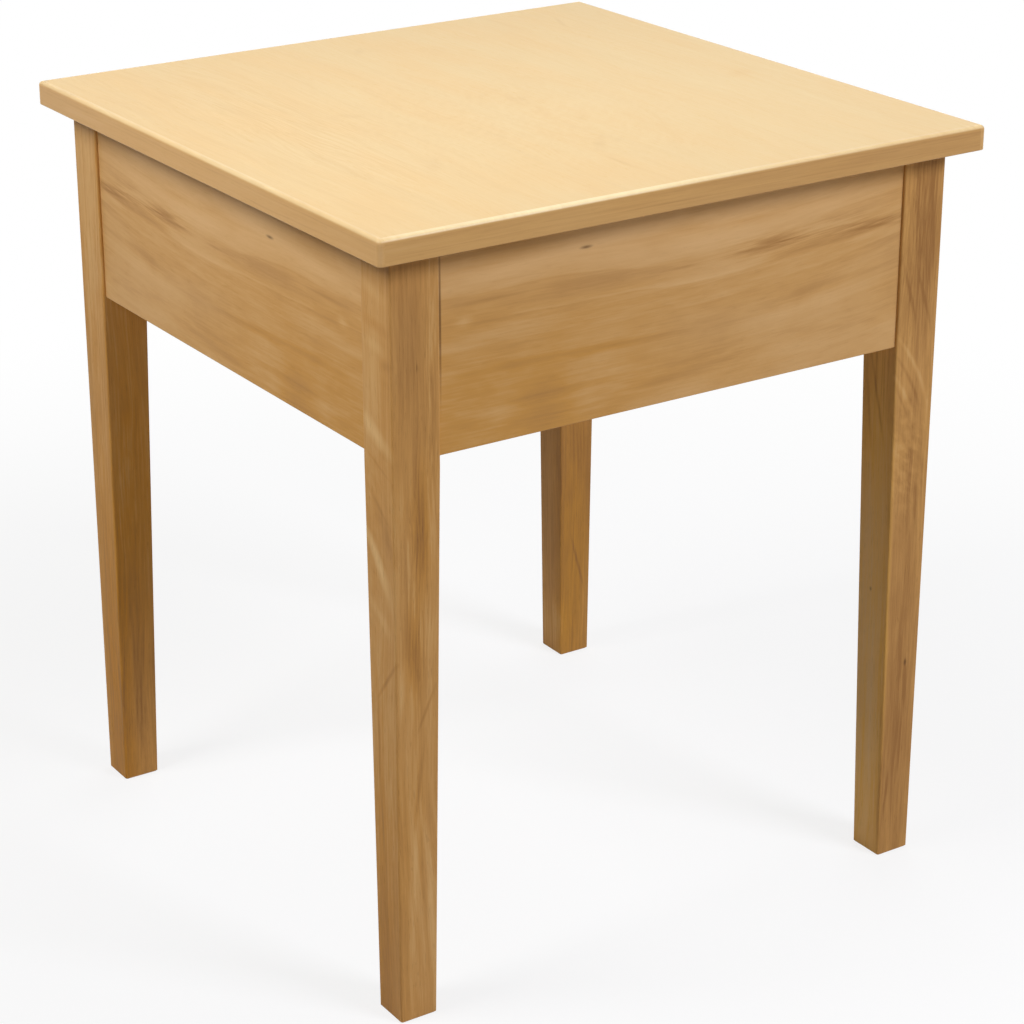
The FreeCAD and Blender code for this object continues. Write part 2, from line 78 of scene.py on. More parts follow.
def soft_step(tree, value, low, high):
    """Rises smoothly from 0 to 1 while the value goes from low to high."""
    inputs = {"Value": value, "From Min": low, "From Max": high}
    return put(tree, "ShaderNodeMapRange", inputs, interpolation_type="SMOOTHSTEP").outputs["Result"]


def cloud(tree, point, stretch, shift, detail, roughness=0.5):
    """Smooth noise about 0.5 on points that are stretched along each axis, then shifted."""
    stretched = reckon_points(tree, "MULTIPLY_ADD", point, stretch, shift)
    inputs = {"Vector": stretched, "Scale": 1.0, "Detail": detail, "Roughness": roughness}
    return put(tree, "ShaderNodeTexNoise", inputs)


def mix_colour(tree, share, first, second):
    """Blends two colours by a share from 0 to 1; plain colours are opaque."""
    first, second = (colour if isinstance(colour, bpy.types.NodeSocket) else (*colour, 1.0)
                     for colour in (first, second))
    inputs = {"Factor": share, 6: first, 7: second}
    return put(tree, "ShaderNodeMix", inputs, data_type="RGBA").outputs[2]


def start_group(name, inputs, outputs):
    """Makes an empty node group with named sockets and returns its tree, input sockets and output node."""
    tree = bpy.data.node_groups.new(name, "ShaderNodeTree")
    for socket, kind in inputs.items():
        tree.interface.new_socket(socket, in_out="INPUT", socket_type=f"NodeSocket{kind}")
    for socket, kind in outputs.items():
        tree.interface.new_socket(socket, in_out="OUTPUT", socket_type=f"NodeSocket{kind}")
    return tree, tree.nodes.new("NodeGroupInput").outputs, tree.nodes.new("NodeGroupOutput")


def send(tree, output, **sockets):
    """Joins a group's results to its output sockets of the same names."""
    for name, socket in sockets.items():
        tree.links.new(socket, output.inputs[name])


def use_group(tree, group, inputs):
    """Places a node group in a material and returns its outputs."""
    return put(tree, "ShaderNodeGroup", inputs, node_tree=group).outputs


# Growth figure: rings about a pith that runs along X, at a distance that wanders along the board.
# Streaks follow the rings; fibres and flecks are noise drawn out along the grain, and curls are
# noise drawn out at a slant across it. A scale gives waves to the metre along the grain and across
# it, but a streak's goes by the year across the rings.
wander_scale = (4.0, 16.0, 16.0)
streak_scale = (8.0, 0.8, 1.0)
fibre_scale = (18.0, 520.0, 520.0)
fleck_scale = (110.0, 1100.0, 1100.0)
curl_scale = (16.0, 150.0, 150.0)
drift_scale = (7.0, 26.0, 26.0)
curl_slant = (0.0, -0.6, -0.6)
across_grain = (0.0, 1.0, 1.0)
noise_middle = (0.5, 0.5, 0.5)
noise_gain = 4.0
pace_waves, pace_years = 0.45, 2.4
late_begins, late_ends = 0.15, 0.92
soft_range = (0.25, 0.75)
firm_range = (0.3, 0.7)
fleck_range = (0.66, 0.78)
figure_tree, given, result = start_group(
    "growth_figure",
    {"Grain": "Vector", "Pith": "Vector", "Ring Width": "Float", "Sway": "Float", "Rise": "Float",
     "Seed": "Float"},
    {"Rings": "Float", "Streaks": "Float", "Fibres": "Float", "Flecks": "Float", "Curls": "Float",
     "Drift": "Float"},
)
seed_point = put(figure_tree, "ShaderNodeCombineXYZ", {axis: given["Seed"] for axis in "XYZ"}).outputs[0]
along = put(figure_tree, "ShaderNodeSeparateXYZ", {0: given["Grain"]}).outputs["X"]
beyond_middle = reckon(figure_tree, "MAXIMUM", along, 0.0)
climb = reckon(figure_tree, "MULTIPLY", reckon(figure_tree, "POWER", beyond_middle, 2.0), given["Rise"])
climb_point = put(figure_tree, "ShaderNodeCombineXYZ", {"Z": climb}).outputs[0]
level = reckon_points(figure_tree, "SUBTRACT", given["Grain"], climb_point)
wander = cloud(figure_tree, level, wander_scale, seed_point, detail=2.0, roughness=0.4).outputs["Color"]
wander = reckon_points(figure_tree, "SUBTRACT", wander, noise_middle)
sway = reckon(figure_tree, "MULTIPLY", given["Sway"], noise_gain)
wander = put(figure_tree, "ShaderNodeVectorMath", {0: wander, "Scale": sway}, operation="SCALE").outputs[0]
swayed = reckon_points(figure_tree, "MULTIPLY_ADD", wander, across_grain, level)
from_pith = reckon_points(figure_tree, "SUBTRACT", swayed, given["Pith"])
from_pith = reckon_points(figure_tree, "MULTIPLY", from_pith, across_grain)
radius = reckon_points(figure_tree, "LENGTH", from_pith)
years = reckon(figure_tree, "DIVIDE", radius, given["Ring Width"])
pace_place = reckon(figure_tree, "MULTIPLY_ADD", years, pace_waves, given["Seed"])
pace = put(figure_tree, "ShaderNodeTexNoise", {"W": pace_place, "Scale": 1.0, "Detail": 1.0},
           noise_dimensions="1D").outputs[0]
age = reckon(figure_tree, "MULTIPLY_ADD", pace, pace_years, years)
season = reckon(figure_tree, "FRACT", age)
late = reckon(figure_tree, "SUBTRACT", soft_step(figure_tree, season, late_begins, late_ends),
              soft_step(figure_tree, season, late_ends, 1.0))
year_number = reckon(figure_tree, "ADD", reckon(figure_tree, "FLOOR", age), given["Seed"])
year_tone = put(figure_tree, "ShaderNodeTexWhiteNoise", {"W": year_number},
                noise_dimensions="1D").outputs["Value"]
rings = reckon(figure_tree, "MULTIPLY", late, year_tone)
ring_point = put(figure_tree, "ShaderNodeCombineXYZ", {"X": along, "Y": age, "Z": given["Seed"]}).outputs[0]
streaks = cloud(figure_tree, ring_point, streak_scale, seed_point, detail=4.0, roughness=0.6).outputs[0]
streaks = soft_step(figure_tree, streaks, *soft_range)
fibres = cloud(figure_tree, swayed, fibre_scale, seed_point, detail=3.0, roughness=0.65).outputs[0]
fibres = soft_step(figure_tree, fibres, *soft_range)
flecks = cloud(figure_tree, swayed, fleck_scale, seed_point, detail=0.0).outputs[0]
flecks = soft_step(figure_tree, flecks, *fleck_range)
slant = put(figure_tree, "ShaderNodeCombineXYZ", {axis: along for axis in "XYZ"}).outputs[0]
slanted = reckon_points(figure_tree, "MULTIPLY_ADD", slant, curl_slant, swayed)
curls = cloud(figure_tree, slanted, curl_scale, seed_point, detail=2.0).outputs[0]
curls = soft_step(figure_tree, curls, *firm_range)
drift = cloud(figure_tree, level, drift_scale, seed_point, detail=2.0).outputs[0]
drift = soft_step(figure_tree, drift, *firm_range)
send(figure_tree, result, Rings=rings, Streaks=streaks, Fibres=fibres, Flecks=flecks, Curls=curls,
     Drift=drift)

# Wood tone: turns the figure into a colour, warmed where the wood is amber and stained where it is
# knotted or where a joint's shade is painted, with a roughness and a surface height. A tone of 0 is
# dark, 0.5 is the wood's body and 1 is pale; tone marks also paint light and shade.
even_tone = 0.5
usual_ring = 0.3
fibre_gloss, fleck_gloss = -0.08, 0.12
tone_tree, given, result = start_group(
    "wood_tone",
    {"Rings": "Float", "Streaks": "Float", "Fibres": "Float", "Flecks": "Float", "Curls": "Float",
     "Drift": "Float", "Ring Depth": "Float", "Streak Depth": "Float", "Fibre Depth": "Float",
     "Fleck Depth": "Float", "Amber Depth": "Float", "Local Tone": "Float", "Local Amber": "Float",
     "Local Stain": "Float", "Local Comb": "Float", "Local Curl": "Float",
     "Dark": "Color", "Middle": "Color", "Pale": "Color", "Amber": "Color", "Stain": "Color",
     "Polish": "Float"},
    {"Color": "Color", "Roughness": "Float", "Height": "Float"},
)


def add_figure(tone, figure, depth):
    """The tone plus the figure's departure from its even value, times a depth."""
    return reckon(tone_tree, "MULTIPLY_ADD", reckon(tone_tree, "SUBTRACT", figure, even_tone), depth, tone)


tone = add_figure(even_tone, given["Streaks"], given["Streak Depth"])
comb_depth = reckon(tone_tree, "ADD", given["Fibre Depth"], given["Local Comb"])
tone = add_figure(tone, given["Fibres"], comb_depth)
tone = add_figure(tone, given["Curls"], given["Local Curl"])
ring_shade = reckon(tone_tree, "SUBTRACT", given["Rings"], usual_ring)
ring_shade = reckon(tone_tree, "MULTIPLY", ring_shade, given["Ring Depth"])
tone = reckon(tone_tree, "SUBTRACT", tone, ring_shade)
tone = reckon(tone_tree, "ADD", tone, given["Local Tone"])
warmth = reckon(tone_tree, "MULTIPLY", given["Drift"], given["Amber Depth"])
warmth = reckon(tone_tree, "ADD", warmth, given["Local Amber"], clamp=True)
body_colour = mix_colour(tone_tree, warmth, given["Middle"], given["Amber"])
below_even = reckon(tone_tree, "MULTIPLY", tone, 2.0, clamp=True)
above_even = reckon(tone_tree, "MULTIPLY_ADD", tone, 2.0, -1.0, clamp=True)
colour = mix_colour(tone_tree, below_even, given["Dark"], body_colour)
colour = mix_colour(tone_tree, above_even, colour, given["Pale"])
fleck_shade = reckon(tone_tree, "MULTIPLY", given["Flecks"], given["Fleck Depth"])
# the stain share also carries painted shade from stain marks at joints
stain_and_painted_shade = reckon(tone_tree, "ADD", fleck_shade, given["Local Stain"], clamp=True)
colour = mix_colour(tone_tree, stain_and_painted_shade, colour, given["Stain"])
roughness = reckon(tone_tree, "MULTIPLY_ADD", given["Fibres"], fibre_gloss, given["Polish"])
roughness = reckon(tone_tree, "MULTIPLY_ADD", given["Flecks"], fleck_gloss, roughness)
height = reckon(tone_tree, "SUBTRACT", given["Fibres"], given["Flecks"])
send(tone_tree, result, Color=colour, Roughness=roughness, Height=height)

# Mark: a soft spot or stroke, 1 at its centre and 0 at the rim of an ellipsoid.
# The ellipsoid leans and bows across the grain as it goes along it.
mark_tree, given, result = start_group(
    "mark", {"Grain": "Vector", "Centre": "Vector", "Reach": "Vector", "Lean": "Vector", "Bow": "Vector"},
    {"Spot": "Float"})
off_centre = reckon_points(mark_tree, "SUBTRACT", given["Grain"], given["Centre"])
ahead = put(mark_tree, "ShaderNodeSeparateXYZ", {0: off_centre}).outputs["X"]
ahead = put(mark_tree, "ShaderNodeCombineXYZ", {axis: ahead for axis in "XYZ"}).outputs[0]
slip = reckon_points(mark_tree, "MULTIPLY_ADD", ahead, given["Bow"], given["Lean"])
slip = reckon_points(mark_tree, "MULTIPLY", slip, ahead)
off_path = reckon_points(mark_tree, "SUBTRACT", off_centre, slip)
off_path = reckon_points(mark_tree, "DIVIDE", off_path, given["Reach"])
share_of_reach = reckon_points(mark_tree, "LENGTH", off_path)
send(mark_tree, result, Spot=soft_step(mark_tree, share_of_reach, 1.0, 0.0))


def lay_grain(tree, turn=(0.0, 0.0, 0.0), flip=(1.0, 1.0, 1.0), shift=(0.0, 0.0, 0.0)):
    """The piece's own coordinates turned until its grain runs along X."""
    coordinates = put(tree, "ShaderNodeTexCoord").outputs["Object"]
    inputs = {"Vector": coordinates, "Location": shift, "Rotation": turn, "Scale": flip}
    return put(tree, "ShaderNodeMapping", inputs).outputs[0]


def sum_marks(tree, grain, marks, effect):
    """Adds up the marks of one effect: each has a centre, a reach, an amount and perhaps a lean and a bow.
    A tone mark lightens or darkens the wood, as figure and also as painted light and shade, amber warms it,
    stain darkens it as a knot does and also as painted shade in a joint, comb strengthens the fibres and
    curl the curls."""
    total = 0.0
    for kind, centre, reach, amount, *path in marks:
        if kind == effect:
            inputs = {"Grain": grain, "Centre": centre, "Reach": reach}
            inputs.update(zip(("Lean", "Bow"), path))
            spot = use_group(tree, mark_tree, inputs)["Spot"]
            total = reckon(tree, "MULTIPLY_ADD", spot, amount, total)
    return total


def grow_wood(tree, turning, figure, look, marks=()):
    """Colour, roughness and height of a board: figure gives the growth, look the depths and the colours."""
    grain = lay_grain(tree, **turning)
    grown = use_group(tree, figure_tree, {"Grain": grain, **figure})
    inputs = {socket.name: socket for socket in grown}
    for socket, value in look.items():
        inputs[socket] = (*value, 1.0) if isinstance(value, tuple) else value
    for effect in ("tone", "amber", "stain", "comb", "curl"):
        inputs[f"Local {effect.title()}"] = sum_marks(tree, grain, marks, effect)
    return use_group(tree, tone_tree, inputs)


def new_finish(name):
    """An empty material with its tree and its main shader."""
    finish = bpy.data.materials.new(name)
    finish.use_nodes = True
    return finish, finish.node_tree, finish.node_tree.nodes["Principled BSDF"]


relief_height = 0.0004
mirror_level = 0.08
coat_roughness = 0.3


def lay_finish(tree, shader, colour, roughness, height, coat, relief):
    """Joins a surface to its shader, with a clear coat and a relief of fibres."""
    tree.links.new(colour, shader.inputs["Base Color"])
    tree.links.new(roughness, shader.inputs["Roughness"])
    bump = put(tree, "ShaderNodeBump", {"Height": height, "Strength": relief, "Distance": relief_height})
    tree.links.new(bump.outputs[0], shader.inputs["Normal"])
    shader.inputs["Specular IOR Level"].default_value = mirror_level
    shader.inputs["Coat Weight"].default_value = coat
    shader.inputs["Coat Roughness"].default_value = coat_roughness


def wood_finish(name, turning, figure, look, marks=(), coat=0.05, relief=0.1):
    """A board's material."""
    finish, tree, shader = new_finish(name)
    wood = grow_wood(tree, turning, figure, look, marks)
    lay_finish(tree, shader, wood["Color"], wood["Roughness"], wood["Height"], coat, relief)
    return finish


def dress(node, finish):
    """Gives a frame node its finish."""
    for slot in nodes[node].material_slots:
        slot.material = finish


apron_look = {
    "Ring Depth": 0.14, "Streak Depth": 0.4, "Fibre Depth": 0.13, "Fleck Depth": 0.04, "Amber Depth": 0.35,
    "Dark": (0.40, 0.20, 0.064), "Middle": (0.605, 0.348, 0.134), "Pale": (0.70, 0.435, 0.196),
    "Amber": (0.56, 0.285, 0.072), "Stain": (0.11, 0.052, 0.018), "Polish": 0.5,
}
quarter = math.pi / 2
along_y = {"turn": (0.0, 0.0, -quarter), "flip": (-1.0, 1.0, 1.0)}
apron_rings = {"Pith": (0.0, 0.12, 0.411), "Ring Width": 0.006, "Sway": 0.003, "Rise": 0.35}
apron_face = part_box("apron_front")[0].y


def on_apron(effect, along, height, length, thickness, amount, climb=0.0, through=0.03):
    """A mark on the front apron's outer face: its place along the board and its height, its half length
    and half thickness, its amount, its climb to the right and how far it goes into the wood."""
    centre = (along, apron_face, height)
    return effect, centre, (length, through, thickness), amount, (0.0, 0.0, climb)


book_marks = (
    # a small knot under the top
    on_apron("stain", -0.083, 0.573, 0.0078, 0.0019, 0.75, through=0.006),
    # dark dashes in the upper half, to the right
    on_apron("tone", 0.12, 0.546, 0.17, 0.012, -0.14),
    on_apron("tone", 0.085, 0.548, 0.05, 0.009, -0.08),
    on_apron("tone", 0.075, 0.5515, 0.04, 0.0022, -0.22),
    on_apron("tone", 0.065, 0.5455, 0.035, 0.002, -0.22),
    on_apron("tone", 0.1, 0.5475, 0.03, 0.0016, -0.24),
    on_apron("tone", 0.165, 0.5485, 0.045, 0.0022, -0.2),
    on_apron("tone", 0.185, 0.544, 0.04, 0.002, -0.2),
    on_apron("tone", 0.005, 0.543, 0.03, 0.0018, -0.16),
    on_apron("tone", 0.2, 0.55, 0.06, 0.01, -0.06),
    # a fainter band to the left of them
    on_apron("tone", -0.1, 0.545, 0.16, 0.009, -0.09),
    on_apron("tone", -0.16, 0.5495, 0.07, 0.002, -0.16),
    # pale lines under the dashes, and a pale fleck at the left end
    on_apron("tone", 0.02, 0.531, 0.16, 0.006, 0.16),
    on_apron("tone", 0.13, 0.535, 0.1, 0.004, 0.16, climb=0.07),
    on_apron("tone", -0.185, 0.537, 0.012, 0.007, 0.26),
    # bands of the lower half, most of them climbing to the right
    on_apron("tone", -0.09, 0.516, 0.14, 0.01, -0.12),
    on_apron("tone", -0.08, 0.4965, 0.17, 0.004, -0.2, climb=-0.02),
    on_apron("tone", 0.12, 0.494, 0.12, 0.008, 0.18, climb=0.1),
    on_apron("tone", 0.15, 0.508, 0.1, 0.005, -0.12, climb=0.09),
    on_apron("tone", 0.0, 0.463, 0.11, 0.005, -0.14, climb=0.083),
    # a dark patch low on the left, and a small one low on the right
    on_apron("tone", -0.117, 0.462, 0.04, 0.028, -0.26),
    on_apron("tone", 0.182, 0.47, 0.016, 0.004, -0.14),
    # paler along the upper edge, and painted light at its left end that lifts the shade under the top's
    # overhang
    on_apron("tone", 0.0, 0.6, 0.3, 0.09, 0.3, through=0.05),
    on_apron("tone", -0.16, 0.566, 0.12, 0.02, 0.12),
    # fibres that stand out among the dashes
    on_apron("comb", 0.12, 0.548, 0.15, 0.016, 0.4),
    # amber wood low on the left, strongest in the patch and along one band
    on_apron("amber", -0.2, 0.46, 0.32, 0.13, 0.9, through=0.1),
    on_apron("amber", -0.117, 0.462, 0.045, 0.034, 0.5),
    on_apron("amber", -0.11, 0.4965, 0.14, 0.006, 0.5, climb=-0.02),
)
# painted shade: a dark line standing in for the shadow in the thin open joint between the front board and
# the near leg
painted_joint_shade = on_apron("stain", -0.204, 0.545, 0.0015, 0.085, 0.85, through=0.02)
book_shift = (-0.008, 0.0, 0.008)
for side, turning, seed, marks in (
    ("front", {}, 3.1, (*book_marks, painted_joint_shade)),
    ("left", {**along_y, "shift": book_shift}, 3.1, book_marks),
    ("back", {}, 8.4, ()),
    ("right", along_y, 12.7, ()),
):
    figure = {**apron_rings, "Seed": seed}
    dress(f"apron_{side}", wood_finish(f"apron_{side}_wood", turning, figure, apron_look, marks))

# Corner blocks
# Four short lengths of planed softwood with mitred ends, screwed across the inner corners.
# They are left raw, with the grain running level from apron to apron.
block_look = {
    "Ring Depth": 0.55, "Streak Depth": 0.35, "Fibre Depth": 0.2, "Fleck Depth": 0.05, "Amber Depth": 0.2,
    "Dark": (0.45, 0.23, 0.085), "Middle": (0.66, 0.44, 0.21), "Pale": (0.76, 0.56, 0.32),
    "Amber": (0.62, 0.37, 0.15), "Stain": (0.14, 0.07, 0.03), "Polish": 0.75,
}
eighth = math.pi / 4
for corner, turn, seed in (("front_left", eighth, 1.0), ("front_right", -eighth, 5.0),
                           ("back_right", eighth, 9.0), ("back_left", -eighth, 13.0)):
    turning = {"turn": (0.0, 0.0, turn)}
    figure = {"Pith": (0.0, 0.33, 0.45), "Ring Width": 0.0035, "Sway": 0.002, "Rise": 0.0, "Seed": seed}
    raw_wood = wood_finish(f"block_{corner}_wood", turning, figure, block_look, coat=0.0, relief=0.3)
    dress(f"corner_block_{corner}", raw_wood)

# Block screws
# Pan head wood screws with a cross recess, sunk in counterbores, pull each block against two aprons.
# They are yellow zinc plated, and only their heads show.
mottle_scale = (160.0, 160.0, 160.0)
scratch_scale = (300.0, 300.0, 4000.0)
mottle_roughness = 0.2
unshifted = (0.0, 0.0, 0.0)


def metal_finish(name, dark, pale, roughness):
    """Plated steel: a soft mottle in colour and roughness, with fine scratches in the surface."""
    finish, tree, shader = new_finish(name)
    point = put(tree, "ShaderNodeTexCoord").outputs["Object"]
    mottle = cloud(tree, point, mottle_scale, unshifted, detail=3.0).outputs[0]
    scratch = cloud(tree, point, scratch_scale, unshifted, detail=1.0).outputs[0]
    colour = mix_colour(tree, soft_step(tree, mottle, *firm_range), dark, pale)
    worn = reckon(tree, "MULTIPLY_ADD", mottle, mottle_roughness, roughness - mottle_roughness / 2)
    lay_finish(tree, shader, colour, worn, scratch, coat=0.0, relief=0.1)
    shader.inputs["Metallic"].default_value = 1.0
    return finish


screw_zinc = metal_finish("screw_zinc", (0.50, 0.40, 0.18), (0.74, 0.62, 0.34), 0.36)
dress("corner_block_screws", screw_zinc)

# Legs
# Four square legs of the same hardwood, tapered on their inner faces below the aprons.
# Each is its own billet, so waves, curls and small knots differ from leg to leg.
leg_look = {
    "Ring Depth": 0.08, "Fibre Depth": 0.22, "Fleck Depth": 0.12,
    "Dark": (0.33, 0.155, 0.046), "Middle": (0.54, 0.284, 0.090), "Pale": (0.70, 0.44, 0.185),
    "Stain": (0.11, 0.05, 0.018), "Polish": 0.5,
}
leg_low, leg_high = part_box("leg_front_left")
half_leg = (leg_high.x - leg_low.x) / 2


def on_front(effect, height, across, length, width, amount, lean=0.0, bow=0.0, depth=0.0, through=0.006):
    """A mark on a leg's front face: its height and its place to the left of the middle, its half length
    and half width, its amount, how its path leans and bows to the left as it rises, its depth below
    the square leg's face and how far it goes into the wood."""
    centre = (height, depth - half_leg, across)
    return effect, centre, (length, through, width), amount, (0.0, 0.0, lean), (0.0, 0.0, bow)


def on_left(effect, height, across, length, width, amount, lean=0.0, bow=0.0, depth=0.0, taper=0.0,
            through=0.006):
    """The same on a leg's left face, with its place and its path counted to the back. The taper is how
    far the face moves out as it rises, where the mark keeps to a tapered face."""
    centre = (height, across, half_leg - depth)
    return effect, centre, (length, width, through), amount, (0.0, lean, taper), (0.0, bow, 0.0)


